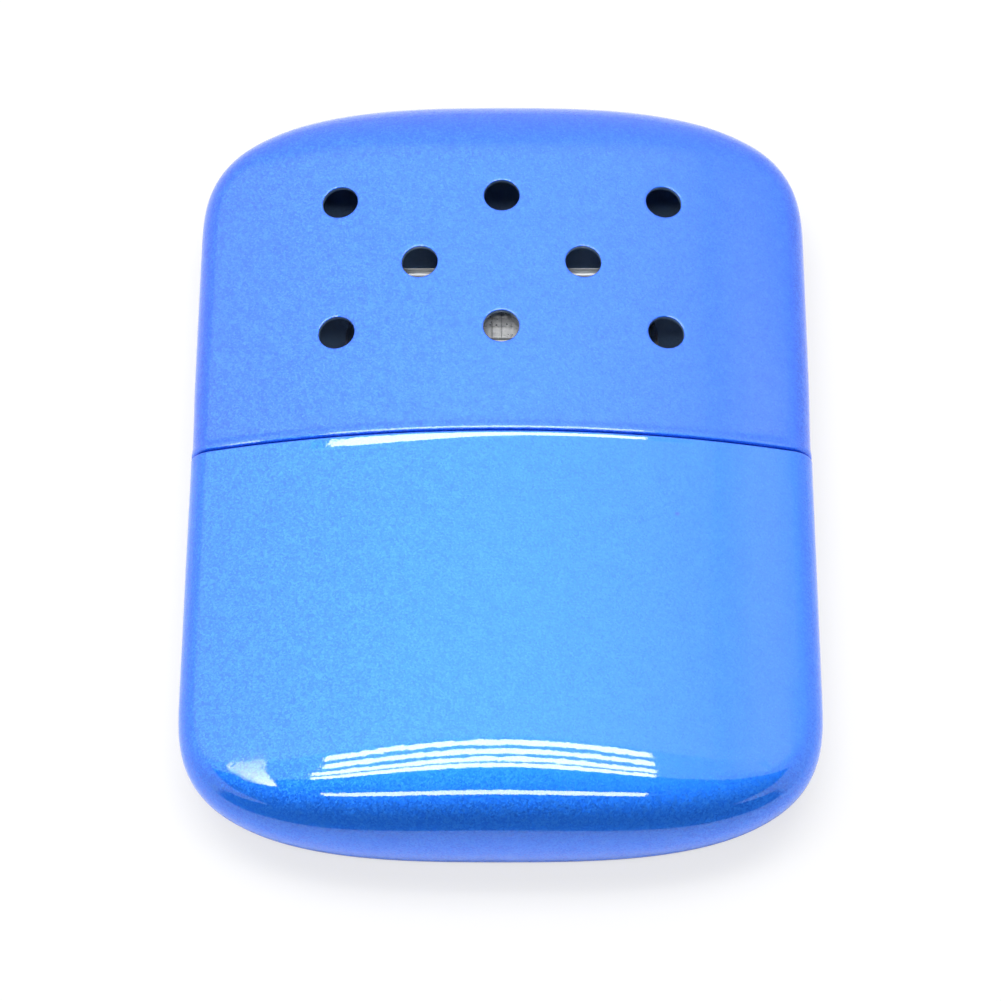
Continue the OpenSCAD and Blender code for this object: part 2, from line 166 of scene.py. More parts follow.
def shell(name, rim_y, holes, displace, body, replaces, mat, mirror):
    """One half of the case as a closed sheet shell with rounded rim and punched vents."""
    st = stations(rim_y)
    count = len(st)
    # Plan of the face: its boundary, the rings round the holes and points inside
    edge2 = [(FACE_R * math.sin(math.atan2(x, FACE_DROP)), y) for x, y, r, nx, ny in st]
    rim_line = [(x, rim_y + RIM_E) for x in np.linspace(edge2[-1][0], edge2[0][0], 61)[1:-1]]
    border = edge2 + rim_line
    nb = len(border)
    pts = [Vector(p) for p in border]
    edges = [(i, (i + 1) % nb) for i in range(nb)]
    ring_n = VENT_STEPS
    ring_ids = []
    for hx, hy in holes:
        first = len(pts)
        for i in range(ring_n):
            a = 2 * math.pi * i / ring_n
            r = VENT_R + VENT_KEEP
            pts.append(Vector((hx + r * math.cos(a), hy + r * math.sin(a))))
        ring_ids.append(list(range(first, first + ring_n)))
        edges += [(first + i, first + (i + 1) % ring_n) for i in range(ring_n)]
        for extra, n2 in ((0.62, 40), (1.0, 36)):
            for i in range(n2):
                a = 2 * math.pi * (i + 0.5) / n2
                r = VENT_R + extra
                pts.append(Vector((hx + r * math.cos(a), hy + r * math.sin(a))))
    bx = np.array([p[0] for p in edge2])
    by = np.array([p[1] for p in edge2])
    order = np.argsort(bx)
    bxs, bys = bx[order], by[order]

    def top_of(x):
        return float(np.interp(x, bxs[1:-1], bys[1:-1])) if abs(x) < EDGE_X - 0.05 else CORNER_Y

    near = [rim_y + v for v in RIM_ROWS]
    rows = near + list(np.arange(rim_y + 4.0, 27.6, 1.0)) + list(np.arange(28.0, 32.6, 0.3))
    inner_x = edge2[0][0] - 0.5
    for y in rows:
        for x in [p[0] for p in rim_line] if y in near else np.linspace(-inner_x, inner_x, 51):
            if y > top_of(x) - 0.22:
                continue
            if any(math.hypot(x - hx, y - hy) < VENT_R + 1.25 for hx, hy in holes):
                continue
            pts.append(Vector((x, y)))
    vs, _, tris, orig, _, _ = delaunay_2d_cdt(pts, edges, [], 1, 1e-6)
    place = {}
    for i, sources in enumerate(orig):
        for s_ in sources:
            place[s_] = i
    keep = []
    for f in tris:
        cx = sum(vs[i][0] for i in f) / 3
        cy = sum(vs[i][1] for i in f) / 3
        if all(math.hypot(cx - hx, cy - hy) > VENT_R + VENT_KEEP - 0.01 for hx, hy in holes):
            keep.append(tuple(f))
    plan = np.array([[v[0], v[1]] for v in vs])
    nf = len(plan)

    # Points: for both layers the front face, the back face, then the edge tube
    P, N, U, BARE = [], [], [], []
    tn = TUBE - 1
    dirs = [tube_dirs(x, nx, ny) for x, y, r, nx, ny in st]
    for depth in (0.0, SHEET):
        for side in (1, -1):
            for x, y in plan:
                p, n = face_point(x, y, depth)
                P.append(p * [1, 1, side])
                N.append(n * [1, 1, side])
                U.append(top_of(x) - y if abs(x) < 24 else 9.0)
                BARE.append(float(depth > 0))
        for (x, y, r, nx, ny), (d, arc) in zip(st, dirs):
            for j in range(1, TUBE):
                P.append(np.array([x, y, 0]) + (r - depth) * d[j])
                N.append(d[j])
                a = arc[j] if j <= TUBE // 2 else arc[-1] - arc[j]
                U.append(-r * a)
                BARE.append(float(depth > 0))
    block = 2 * nf + count * tn

    def face_id(layer, side, i):
        return layer * block + side * nf + i

    def tube_id(layer, k, j):
        if j == 0:
            return face_id(layer, 0, place[k])
        if j == TUBE:
            return face_id(layer, 1, place[k])
        return layer * block + 2 * nf + k * tn + j - 1

    faces = []
    for a, b, c in keep:
        for layer in (0, 1):
            for side in (0, 1):
                t = (face_id(layer, side, a), face_id(layer, side, b), face_id(layer, side, c))
                faces.append(t if (layer + side) % 2 == 0 else t[::-1])
    for layer in (0, 1):
        rings = [[tube_id(layer, k, j) for j in range(TUBE + 1)] for k in range(count)]
        quads = loft(rings, closed=False)
        faces += [q[::-1] for q in quads] if layer == 0 else quads

    # Rim: rounded over from the outer to the inner layer
    rim_loop = []
    rim_ids = [place[i] for i in range(count, nb)]
    for layer in (0, 1):
        loop = [tube_id(layer, 0, j) for j in range(TUBE + 1)]
        loop += [face_id(layer, 1, i) for i in reversed(rim_ids)]
        loop += [tube_id(layer, count - 1, j) for j in range(TUBE, -1, -1)]
        loop += [face_id(layer, 0, i) for i in rim_ids]
        rim_loop.append(loop)
    rows_rim = [rim_loop[0]]
    steps = 9
    for s_ in range(1, steps):
        a = math.pi * s_ / steps
        depth = SHEET / 2 * (1 - math.cos(a))
        y = rim_y + RIM_E * (1 - math.sin(a))
        row = []
        for outer in rim_loop[0]:
            row.append(len(P))
            base = P[outer] - N[outer] * depth
            P.append(np.array([base[0], y, base[2]]))
            N.append(N[outer])
            U.append(U[outer])
            BARE.append(0.0)
        rows_rim.append(row)
    rows_rim.append(rim_loop[1])
    faces += loft(rows_rim)

    # Punched vents: the outer lip rolls in, the inner edge is left bare
    for (hx, hy), ids in zip(holes, ring_ids):
        for side in (0, 1):
            sg = 1 - 2 * side
            rings = [[face_id(0, side, place[i]) for i in ids]]
            for grow, depth in VENT_LIP:
                ring = []
                for i in range(ring_n):
                    a = 2 * math.pi * i / ring_n
                    r = VENT_R + grow
                    p, n = face_point(hx + r * math.cos(a), hy + r * math.sin(a), depth)
                    ring.append(len(P))
                    P.append(p * [1, 1, sg])
                    N.append(n * [1, 1, sg])
                    U.append(9.0)
                    BARE.append(1.0 if depth > BARE_BELOW else 0.0)
                rings.append(ring)
            rings.append([face_id(1, side, place[i]) for i in ids])
            quads = loft(rings)
            faces += [q[::-1] for q in quads] if side == 0 else quads

    P, N, U = np.array(P), np.array(N), np.array(U)
    P = P - N * displace(P, U)[:, None]
    P[:, 2] += MID_Z
    if mirror:
        P[:, 1] *= -1
        faces = [f[::-1] for f in faces]
    obj = make_object(name, P, faces, body, replaces, mat)
    outward(obj)
    att = obj.data.attributes.new("bare", "FLOAT", "POINT")
    att.data.foreach_set("value", np.array(BARE, np.float32))
    return obj


# The end's turn starts softly, 2.5 mm early at the middle of the case and later
# towards its sides. The table holds how far the surface lies inside the plain shape,
# for each place across the case and each distance past the plain turn's start.
def smooth(t):
    t = np.clip(t, 0, 1)
    return t * t * (3 - 2 * t)


TURN_X, TURN_S = np.linspace(0, 29, 59), np.linspace(-4, 8, 601)


def turn_table():
    rate, start, join, meet = 2.9, 2.5, 0.6, 3.2
    rows = []
    for x in TURN_X:
        later = 0.45 * (x / 16.9) ** 2 * (1 - smooth((x - 19) / 6))
        s = TURN_S - later * (1 - smooth((TURN_S - 1) / 3.5))
        low, high = rate * (join + start), math.degrees(meet / MID_Z)
        ramp_up, onward = rate * np.clip(s + start, 0, None), low + (high - low) * (s - join) / (meet - join)
        tilt = np.where(s < join, ramp_up, onward)
        tilt = np.where(s < 0.5 - start, rate * np.clip(s + start + 0.5, 0, None) ** 2 / 2, tilt)
        tilt = np.where(s > meet, np.degrees(s / MID_Z), tilt)
        plain = np.degrees(np.clip(TURN_S, 0, None) / MID_Z)
        extra = np.radians(tilt - plain) * (1 - smooth((x - 20) / 6))
        depth = np.concatenate([[0], np.cumsum((extra[1:] + extra[:-1]) / 2 * 0.02)])
        rows.append(depth - depth[-1] * smooth((TURN_S - 1) / 5))
    return np.array(rows)


TURN = turn_table()


def end_softness(x, before):
    fx = np.clip(np.abs(x) / 0.5, 0, 57.999)
    fs = np.clip((4 - before) / 0.02, 0, 599.999)
    i, j = fx.astype(int), fs.astype(int)
    fx, fs = fx - i, fs - j
    near = TURN[i, j] * (1 - fx) + TURN[i + 1, j] * fx
    far = TURN[i, j + 1] * (1 - fx) + TURN[i + 1, j + 1] * fx
    return np.where(before > 4, 0, near * (1 - fs) + far * fs)


def slope_sum(t):
    """How far a surface has sunk whose slope grows smoothly from 0 to 1 over t from 0 to 1."""
    u = np.clip(t, 0, 1)
    return u**3 - u**4 / 2 + np.clip(t - 1, 0, None)


# Under the seam the tank's rim stands a little proud, more widely so on the left.
def tank_displace(P, U):
    x, s = P[:, 0], P[:, 1] + TANK_RIM
    wide = 0.42 + 0.55 * smooth((3 - x) / 17)
    steep = 0.2 * slope_sum((s - 0.08) / 0.2) - 0.3 * slope_sum((s - 0.1 - wide) / 0.3)
    drop = 0.101 * steep + 0.003 * np.clip(s - 0.2, 0, wide) ** 2 / wide
    near_rim = 1 - smooth((s - 2) / 8)
    return drop * near_rim * (1 - 0.8 * smooth((np.abs(x) - 16.5) / 4)) + end_softness(x, U)


# The cap's sheet is drawn in a little towards its rim, flares again and rolls over there.
def cap_displace(P, U):
    s = P[:, 1] - CAP_RIM
    tuck = 0.1 * (1 - smooth((s - 1.2) / 8))
    flare = 0.08 * (1 - smooth((s - 0.35) / 0.9))
    over = np.clip(0.45 - s, 0, 0.36)
    return tuck - flare + over**2 / 2.68 + end_softness(P[:, 0], U)


# ---- Materials ----
class Nodes:
    def __init__(self, name):
        self.mat = bpy.data.materials.new(name)
        self.mat.use_nodes = True
        self.tree = self.mat.node_tree
        self.shader = self.tree.nodes["Principled BSDF"]

    def add(self, kind, **values):
        node = self.tree.nodes.new(kind)
        for key, value in values.items():
            if key.startswith("in_"):
                label = key[3:]
                socket = int(label) if label.isdigit() else label.replace("_", " ")
                node.inputs[socket].default_value = value
            else:
                setattr(node, key, value)
        return node

    def link(self, a, b):
        self.tree.links.new(a, b)

    def set(self, **values):
        for key, value in values.items():
            self.shader.inputs[key.replace("_", " ")].default_value = value
        return self


def ramp(nodes, source, stops):
    r = nodes.add("ShaderNodeValToRGB")
    nodes.link(source, r.inputs[0])
    el = r.color_ramp.elements
    while len(el) < len(stops):
        el.new(0.5)
    for e, (pos, col) in zip(el, stops):
        e.position = pos
        e.color = (*col, 1) if len(col) == 3 else col
    return r.outputs[0]


def paint(name, deep, main, bright, rough, coat_rough, flaw):
    """Metallic paint under clear coat. The flaw is a small scuff: place and half sizes in mm."""
    n = Nodes(name)
    coord = n.add("ShaderNodeTexCoord").outputs["Object"]
    flakes = n.add("ShaderNodeTexVoronoi", in_Scale=6800.0, in_Randomness=1.0)
    n.link(coord, flakes.inputs["Vector"])
    rand = flakes.outputs["Color"]
    # Colour: each flake has its own shade, over a slow mottle
    sep = n.add("ShaderNodeSeparateColor")
    n.link(rand, sep.inputs[0])
    mottle = n.add("ShaderNodeTexNoise", in_Scale=700.0, in_Detail=3.0, in_Roughness=0.6)
    n.link(coord, mottle.inputs["Vector"])
    shade = n.add("ShaderNodeMath", operation="MULTIPLY_ADD", in_1=0.5, in_2=0.1)
    n.link(sep.outputs[0], shade.inputs[0])
    shade2 = n.add("ShaderNodeMath", operation="MULTIPLY_ADD", in_1=0.3)
    n.link(mottle.outputs["Fac"], shade2.inputs[0])
    n.link(shade.outputs[0], shade2.inputs[2])
    colour = ramp(n, shade2.outputs[0], [(0.1, deep), (0.5, main), (0.9, bright)])
    # One small scuff on the face
    place = n.add("ShaderNodeMapping", vector_type="TEXTURE")
    place.inputs["Location"].default_value = (flaw[0] * MM, flaw[1] * MM, CASE_T * MM - 0.0008)
    place.inputs["Scale"].default_value = (flaw[2] * MM, flaw[3] * MM, 0.0012)
    n.link(coord, place.inputs["Vector"])
    reach = n.add("ShaderNodeVectorMath", operation="LENGTH")
    n.link(place.outputs[0], reach.inputs[0])
    inside = n.add("ShaderNodeMapRange")
    inside.inputs["From Min"].default_value = 1.0
    inside.inputs["From Max"].default_value = 0.5
    inside.inputs["To Max"].default_value = 0.6
    n.link(reach.outputs["Value"], inside.inputs["Value"])
    scuffed = n.add("ShaderNodeMix", data_type="RGBA")
    n.link(inside.outputs[0], scuffed.inputs[0])
    n.link(colour, scuffed.inputs[6])
    scuffed.inputs[7].default_value = (0.3, 0.42, 0.75, 1) if flaw[2] < 0.1 else (0.03, 0.05, 0.35, 1)
    colour = scuffed.outputs[2]
    # Bare steel inside and on the punched edges. Its colour is tinted blue, partly for thin blue overspray and
    # partly as a painted bluish reflection of the paint round it
    bare = n.add("ShaderNodeAttribute", attribute_name="bare")
    both = n.add("ShaderNodeMix", data_type="RGBA")
    n.link(bare.outputs["Fac"], both.inputs[0])
    n.link(colour, both.inputs[6])
    # Blue-tinted steel: partly overspray, partly painted reflection of the blue paint
    both.inputs[7].default_value = (0.26, 0.42, 0.68, 1)
    n.link(both.outputs[2], n.shader.inputs["Base Color"])
    dull = n.add("ShaderNodeMapRange")
    dull.inputs["To Min"].default_value = 0.9
    dull.inputs["To Max"].default_value = 0.4
    n.link(bare.outputs["Fac"], dull.inputs["Value"])
    n.link(dull.outputs[0], n.shader.inputs["Metallic"])
    # Flakes lean a little each way
    geo = n.add("ShaderNodeNewGeometry")
    centre = n.add("ShaderNodeVectorMath", operation="SUBTRACT")
    centre.inputs[1].default_value = (0.5, 0.5, 0.5)
    n.link(rand, centre.inputs[0])
    lean = n.add("ShaderNodeVectorMath", operation="SCALE")
    lean.inputs["Scale"].default_value = 0.2
    n.link(centre.outputs[0], lean.inputs[0])
    total = n.add("ShaderNodeVectorMath", operation="ADD")
    n.link(geo.outputs["Normal"], total.inputs[0])
    n.link(lean.outputs[0], total.inputs[1])
    unit = n.add("ShaderNodeVectorMath", operation="NORMALIZE")
    n.link(total.outputs[0], unit.inputs[0])
    n.link(unit.outputs[0], n.shader.inputs["Normal"])
    # Orange peel in the clear coat
    peel = n.add("ShaderNodeTexNoise", in_Scale=800.0, in_Detail=3.0, in_Roughness=0.55)
    n.link(coord, peel.inputs["Vector"])
    bump = n.add("ShaderNodeBump", in_Strength=1.0, in_Distance=0.000006)
    n.link(peel.outputs["Fac"], bump.inputs["Height"])
    n.link(bump.outputs[0], n.shader.inputs["Coat Normal"])
    n.set(Roughness=rough, Coat_Weight=1.0, Coat_Roughness=coat_rough, Coat_IOR=1.68)
    return n.mat


TANK_PAINT = paint(
    "tank_paint", (0.005, 0.15, 0.88), (0.014, 0.213, 0.97), (0.035, 0.285, 1.0),
    0.56, 0.035, (16.1, -7.5, 0.35, 0.3),
)
CAP_PAINT = paint(
    "cap_paint", (0.004, 0.11, 0.8), (0.017, 0.172, 0.92), (0.045, 0.245, 1.0),
    0.56, 0.08, (19.9, 18.7, 0.06, 0.55),
)


def stretched(n, along, across, axis, detail=3.0):
    """Noise drawn out along one axis, for rolled and brushed metal."""
    coord = n.add("ShaderNodeTexCoord").outputs["Object"]
    mapping = n.add("ShaderNodeMapping")
    scale = [across] * 3
    scale[axis] = along
    mapping.inputs["Scale"].default_value = scale
    n.link(coord, mapping.inputs["Vector"])
    noise = n.add("ShaderNodeTexNoise", in_Scale=1.0, in_Detail=detail, in_Roughness=0.6)
    n.link(mapping.outputs[0], noise.inputs["Vector"])
    return noise.outputs["Fac"]


def metal(name, dull, main, warm, rough, axis, along=120.0, across=5200.0, depth=2e-6):
    """Sheet metal: rolling marks, finger-worn patches in the gloss and a faint warm stain."""
    n = Nodes(name)
    coord = n.add("ShaderNodeTexCoord").outputs["Object"]
    marks = stretched(n, along, across, axis)
    patches = n.add("ShaderNodeTexNoise", in_Scale=230.0, in_Detail=5.0, in_Roughness=0.65)
    n.link(coord, patches.inputs["Vector"])
    tone = ramp(n, marks, [(0.25, dull), (0.62, main)])
    stain = ramp(n, patches.outputs["Fac"], [(0.5, (0, 0, 0)), (0.72, (1, 1, 1))])
    both = n.add("ShaderNodeMix", data_type="RGBA")
    n.link(stain, both.inputs[0])
    n.link(tone, both.inputs[6])
    both.inputs[7].default_value = (*warm, 1)
    n.link(both.outputs[2], n.shader.inputs["Base Color"])
    gloss = n.add("ShaderNodeMapRange")
    gloss.inputs["From Min"].default_value = 0.3
    gloss.inputs["From Max"].default_value = 0.7
    gloss.inputs["To Min"].default_value = rough * 0.75
    gloss.inputs["To Max"].default_value = rough * 1.35
    n.link(patches.outputs["Fac"], gloss.inputs["Value"])
    n.link(gloss.outputs[0], n.shader.inputs["Roughness"])
    bump = n.add("ShaderNodeBump", in_Strength=0.6, in_Distance=depth)
    n.link(marks, bump.inputs["Height"])
    n.link(bump.outputs[0], n.shader.inputs["Normal"])
    n.set(Metallic=1.0)
    return n.mat


def fluff(name, shadow, main, fleck, amount, scale, depth):
    """Soft fibrous white with darker flecks."""
    n = Nodes(name)
    coord = n.add("ShaderNodeTexCoord").outputs["Object"]
    wisps = n.add("ShaderNodeTexNoise", in_Scale=scale, in_Detail=6.0, in_Roughness=0.7, in_Distortion=2.2)
    n.link(coord, wisps.inputs["Vector"])
    tone = ramp(n, wisps.outputs["Fac"], [(0.3, shadow), (0.6, main)])
    specks = n.add("ShaderNodeTexVoronoi", in_Scale=scale * 1.3)
    n.link(coord, specks.inputs["Vector"])
    sep = n.add("ShaderNodeSeparateColor")
    n.link(specks.outputs["Color"], sep.inputs[0])
    some = n.add("ShaderNodeMath", operation="GREATER_THAN", in_1=1.0 - amount)
    n.link(sep.outputs[1], some.inputs[0])
    near = n.add("ShaderNodeMath", operation="LESS_THAN", in_1=0.32)
    n.link(specks.outputs["Distance"], near.inputs[0])
    hit = n.add("ShaderNodeMath", operation="MULTIPLY")
    n.link(some.outputs[0], hit.inputs[0])
    n.link(near.outputs[0], hit.inputs[1])
    both = n.add("ShaderNodeMix", data_type="RGBA")
    n.link(hit.outputs[0], both.inputs[0])
    n.link(tone, both.inputs[6])
    both.inputs[7].default_value = (*fleck, 1)
    n.link(both.outputs[2], n.shader.inputs["Base Color"])
    bump = n.add("ShaderNodeBump", in_Strength=0.8, in_Distance=depth)
    n.link(wisps.outputs["Fac"], bump.inputs["Height"])
    n.link(bump.outputs[0], n.shader.inputs["Normal"])
    n.set(Roughness=0.95, Sheen_Weight=0.3, Sheen_Roughness=0.5)
    n.shader.inputs["Specular IOR Level"].default_value = 0.15
    return n.mat


PLATING = metal("neck_plating",
    (0.70, 0.71, 0.73), (0.82, 0.83, 0.85), (0.76, 0.75, 0.72), 0.16, 0, 90.0, 3600.0, 1e-6,
)
SATIN = metal("burner_metal",
    (0.30, 0.32, 0.34), (0.48, 0.50, 0.52), (0.44, 0.42, 0.38), 0.46, 0,
)
WIRE = metal("wire_mesh",
    (0.46, 0.47, 0.48), (0.64, 0.65, 0.66), (0.52, 0.48, 0.42), 0.5, 1,
)
SPRING = metal("spring_steel",
    (0.66, 0.66, 0.68), (0.80, 0.80, 0.82), (0.72, 0.68, 0.60), 0.22, 1,
)
RIVET = metal("rivet_metal",
    (0.58, 0.58, 0.59), (0.72, 0.72, 0.73), (0.64, 0.60, 0.54), 0.3, 2,
)
FIBRE = fluff("glass_fibre",
    (0.80, 0.81, 0.82), (0.95, 0.95, 0.95), (0.30, 0.31, 0.32), 0.14, 2600.0, 3e-5,
)
FELT = fluff("wick_felt",
    (0.72, 0.70, 0.62), (0.88, 0.86, 0.79), (0.62, 0.59, 0.50), 0.08, 1500.0, 8e-5,
)
COTTON = fluff("cotton",
    (0.80, 0.79, 0.75), (0.95, 0.94, 0.91), (0.84, 0.80, 0.70), 0.04, 700.0, 2e-4,
)

vents = []
for row in range(3):
    per_row = 2 if row == 1 else 3
    for i in range(per_row):
        vents.append(((i - (per_row - 1) / 2) * VENT_PITCH, CASE_L / 2 - VENT_INSET - row * VENT_ROW))

shell("tank_case", -TANK_RIM, [], tank_displace, "tank", ["tank_shell"], TANK_PAINT, True)
shell("cap_case", CAP_RIM, vents, cap_displace, "cap", ["cap_shell"], CAP_PAINT, False)


# ---- Rings that stand across the case, and sweeps between them ----
RING_N = 208


def spaced(points):
    """Equal steps round a closed line, from where it crosses +X."""
    p = np.vstack([points, points[:1]])
    d = np.concatenate([[0], np.cumsum(np.linalg.norm(np.diff(p, axis=0), axis=1))])
    t = np.linspace(0, d[-1], RING_N, endpoint=False)
    return np.stack([np.interp(t, d, p[:, k]) for k in (0, 1)], 1)


def section_ring(inset):
    lean = math.atan2(EDGE_X, FACE_DROP)
    edge = [lean + (math.pi - 2 * lean) * i / 60 for i in range(61)]
    right = [(EDGE_X + (EDGE_R - inset) * math.sin(a), (EDGE_R - inset) * math.cos(a)) for a in edge]
    r = FACE_R - inset
    low = [(r * math.sin(a), FACE_DROP - r * math.cos(a)) for a in np.linspace(lean, -lean, 61)[1:-1]]
    left = [(-x, z) for x, z in reversed(right)]
    top = [(x, -z) for x, z in reversed(low)]
    return spaced(np.array(right[30:] + low + left + top + right[:30]))


def oval_ring(w, t):
    r = t / 2
    a = np.linspace(0, -math.pi / 2, 25)
    quarter = np.stack([(w - t) / 2 + r * np.cos(a), r * np.sin(a)], 1)
    low = quarter[::-1] * [-1, 1]
    half = np.vstack([quarter, low])
    return spaced(np.vstack([half, (half * [-1, -1])]))


def plate_ring(w, h, r):
    a = np.linspace(0, -math.pi / 2, 13)
    quarter = np.stack([w / 2 - r + r * np.cos(a), -h / 2 + r + r * np.sin(a)], 1)
    half = np.vstack([quarter, quarter[::-1] * [-1, 1]])
    return np.vstack([half, half * [-1, -1]])


def sweep(name, rings, body, replaces, mat, angle=35):
    """Closed skin through rings, given as [(ring points, level)], round and back."""
    n = len(rings[0][0])
    P = [(x, y, MID_Z + z) for ring, y in rings for x, z in ring]
    ids = [[k * n + j for j in range(n)] for k in range(len(rings))]
    obj = make_object(name, P, loft(ids + [ids[0]]), body, replaces, mat)
    outward(obj)
    sharpen(obj, angle)
    return obj


def turn_over(a, b, steps=5):
    """Quarter round between two (offset, level) points, leaving a along its level."""
    out = []
    for i in range(1, steps):
        t = math.pi / 2 * i / steps
        out.append((a[0] + (b[0] - a[0]) * (1 - math.cos(t)), a[1] + (b[1] - a[1]) * math.sin(t)))
    return out


# ---- Tank's inside: neck, deck, mouth, gauze, wick and cotton ----
RIM = SEAM_Y - SEAM_GAP / 2
# Profiles are pairs of inset or offset and level. The neck steps in at the rim, has a
# shallow bead round it and turns over at its top.
profile = [(0.62, -5.6), (0.55, -5.5), (0.55, RIM - 0.14)]
profile += [(0.55 + 0.3 * smooth(t), RIM - 0.14 + 0.24 * t) for t in np.linspace(0.2, 1, 5)]
profile += [(0.85, 1.5)]
for y in np.linspace(1.85, 2.95, 15):
    profile.append((0.85 + 0.10 * (0.5 - 0.5 * math.cos(2 * math.pi * (y - 1.85) / 1.1)), y))
profile += [(0.85, 3.2), (0.85, 6.0), (0.85, 6.86)] + turn_over((0.85, 6.86), (1.03, 7.04))
profile += [(1.03, 7.04), (1.10, 7.04), (1.22, 6.98), (1.25, 6.88), (1.25, 4.0), (1.25, 0.5)]
profile += [(1.25, -3.0), (1.25, -5.5), (1.18, -5.6)]
neck = [(section_ring(d), y) for d, y in profile]
sweep("neck", neck, "tank", ["neck_collar"], PLATING)

DECK = 7.04
hole = oval_ring(19.1, 6.1)
edge = section_ring(1.3)


def between(f, a=edge, b=hole):
    return a * (1 - f) + b * f


deck = [(section_ring(d), DECK - low) for d, low in ((1.3, 0.36), (1.3, 0.1), (1.34, 0.03), (1.42, 0))]
deck += [(between(f), DECK - 0.13 * smooth((f - 0.2) / 0.14)) for f in np.linspace(0.08, 0.5, 19)]
deck += [(between(f), DECK - 0.13 + 0.13 * smooth((f - 0.55) / 0.2)) for f in np.linspace(0.55, 0.98, 18)]
deck += [(hole, DECK - 0.05), (hole, DECK - 0.36), (between(0.96), DECK - 0.4)]
deck += [(between(0.5), DECK - 0.4), (section_ring(1.4), DECK - 0.4)]
sweep("deck", deck, "tank", ["deck_plate"], PLATING)


def around(w, t, offset):
    return oval_ring(w + 2 * offset, t + 2 * offset)


# The ferrule has a flange under the deck and a groove near its lip
profile = [(-0.30, 4.94), (-0.05, 4.94), (0, 5.0), (0, 6.1), (0, 6.24), (1.1, 6.24), (1.2, 6.3)]
profile += [(1.2, 6.56), (1.12, 6.63), (0.02, 6.63), (0, 7.1), (0, 9.6), (0.0, 10.55)]
profile += [(-0.05, 10.66), (-0.05, 10.72), (0.0, 10.83), (0.0, 10.98)]
profile += turn_over((0.0, 10.98), (-0.16, 11.14)) + [(-0.16, 11.14), (-0.2, 11.14)]
profile += [(-0.30, 11.09), (-0.35, 11.0), (-0.35, 8.0), (-0.35, 5.0)]
ferrule = [(around(19, 6, o), y) for o, y in profile]
sweep("ferrule", ferrule, "tank", ["mouth_ferrule"], PLATING)


def woven(name, w, h, pitch, wire, place, body, replaces, inside=None):
    """Plain woven wire: each wire runs over one and under the next."""
    nx, ny = int(w / pitch), int(h / pitch)
    P, F = [], []
    sides = 6

    def run(fixed, count_across, along_x, odd):
        half = w / 2 if along_x else h / 2
        if inside:
            half = inside(fixed, along_x)
            if half < pitch:
                return
        steps = max(6, int(2 * half / pitch * 4))
        u = np.linspace(-half, half, steps)
        lift = wire * 0.5 * np.cos(math.pi * (u / pitch - (count_across % 2) * 0.5)) * (1 if odd else -1)
        start = len(P)
        for a, z in zip(u, lift):
            for k in range(sides):
                c, s_ = math.cos(2 * math.pi * k / sides), math.sin(2 * math.pi * k / sides)
                aside, z_ = fixed + wire / 2 * c, z + wire / 2 * s_
                P.append(place(a, aside, z_) if along_x else place(aside, a, z_))
        for i in range(steps - 1):
            for k in range(sides):
                m = (k + 1) % sides
                here, on = start + i * sides, start + (i + 1) * sides
                F.append((here + k, here + m, on + m, on + k))
        F.append(tuple(start + k for k in reversed(range(sides))))
        F.append(tuple(start + (steps - 1) * sides + k for k in range(sides)))

    for j in range(ny):
        run((j - (ny - 1) / 2) * pitch, nx + 1, True, j % 2)
    for i in range(nx):
        run((i - (nx - 1) / 2) * pitch, ny + 1, False, (i + 1) % 2)
    obj = make_object(name, P, F, body, replaces, WIRE)
    outward(obj)
    return obj


def oval_half(fixed, along_x, w=18.1, t=5.1):
    if along_x:
        return (w - t) / 2 + math.sqrt(max(0.0, (t / 2) ** 2 - fixed**2))
    over = max(0.0, abs(fixed) - (w - t) / 2)
    return math.sqrt(max(0.0, (t / 2) ** 2 - over**2))


GAUZE_Y = 5.44
woven("gauze", 18.1, 5.1, 0.5, 0.1, lambda u, v, z: (u, GAUZE_Y + z, MID_Z + v),
      "tank", ["mouth_gauze"], oval_half)


def lumpy(P, size, seed, cell):
    """Smooth seeded lumps: sums of sine waves in random directions."""
    rng = np.random.default_rng(seed)
    v = np.zeros(len(P))
    for _ in range(14):
        d = rng.normal(size=3)
        d *= rng.uniform(0.7, 1.8) / cell / np.linalg.norm(d)
        v += np.sin(P @ d * 2 * math.pi + rng.uniform(0, 6.28)) / 14
    return size * v


def soft_sweep(name, rings, body, replaces, mat, size, seed, cell):
    """Closed soft body through rings, capped at both ends, with lumps that only go inwards."""
    n = len(rings[0][0])
    P = [(x, y, MID_Z + z) for ring, y in rings for x, z in ring]
    ids = [[k * n + j for j in range(n)] for k in range(len(rings))]
    F = loft(ids) + [tuple(ids[0]), tuple(reversed(ids[-1]))]
    P = np.array(P, float)
    centre = np.array([[0, y, MID_Z] for ring, y in rings for _ in ring])
    inward = centre - P
    dist = np.linalg.norm(inward, axis=1)[:, None]
    sunk = np.minimum(np.abs(lumpy(P, size, seed, cell))[:, None] * 2.2, dist * 0.2)
    P = P + inward / np.maximum(dist, 1e-6) * sunk
    obj = make_object(name, P, F, body, replaces, mat)
    outward(obj)
    return obj


pad = [(section_ring(1.5 + 9 * f), 2.09) for f in (0.35, 0.2, 0.1, 0.05)]
quarter = np.linspace(0, math.pi / 2, 5)
pad += [(section_ring(1.5 + 0.25 * (1 - math.sin(a))), 2.09 + 0.25 * (1 - math.cos(a))) for a in quarter]
pad += [(section_ring(1.5), y) for y in np.linspace(2.5, 4.3, 6)]
pad += [(section_ring(1.5 + 0.3 * (1 - math.cos(a))), 4.39 + 0.3 * math.sin(a)) for a in quarter]
boss = oval_ring(17.8, 4.8)
pad += [(between(f, section_ring(1.8), boss), 4.69) for f in (0.2, 0.4, 0.6, 0.8, 0.93)]
pad += [(boss, 4.75), (boss, 5.1), (around(17.8, 4.8, -0.06), 5.22), (around(17.8, 4.8, -0.2), 5.285)]
pad += [(around(17.8, 4.8, -o), 5.29) for o in (0.6, 1.2, 1.8)]
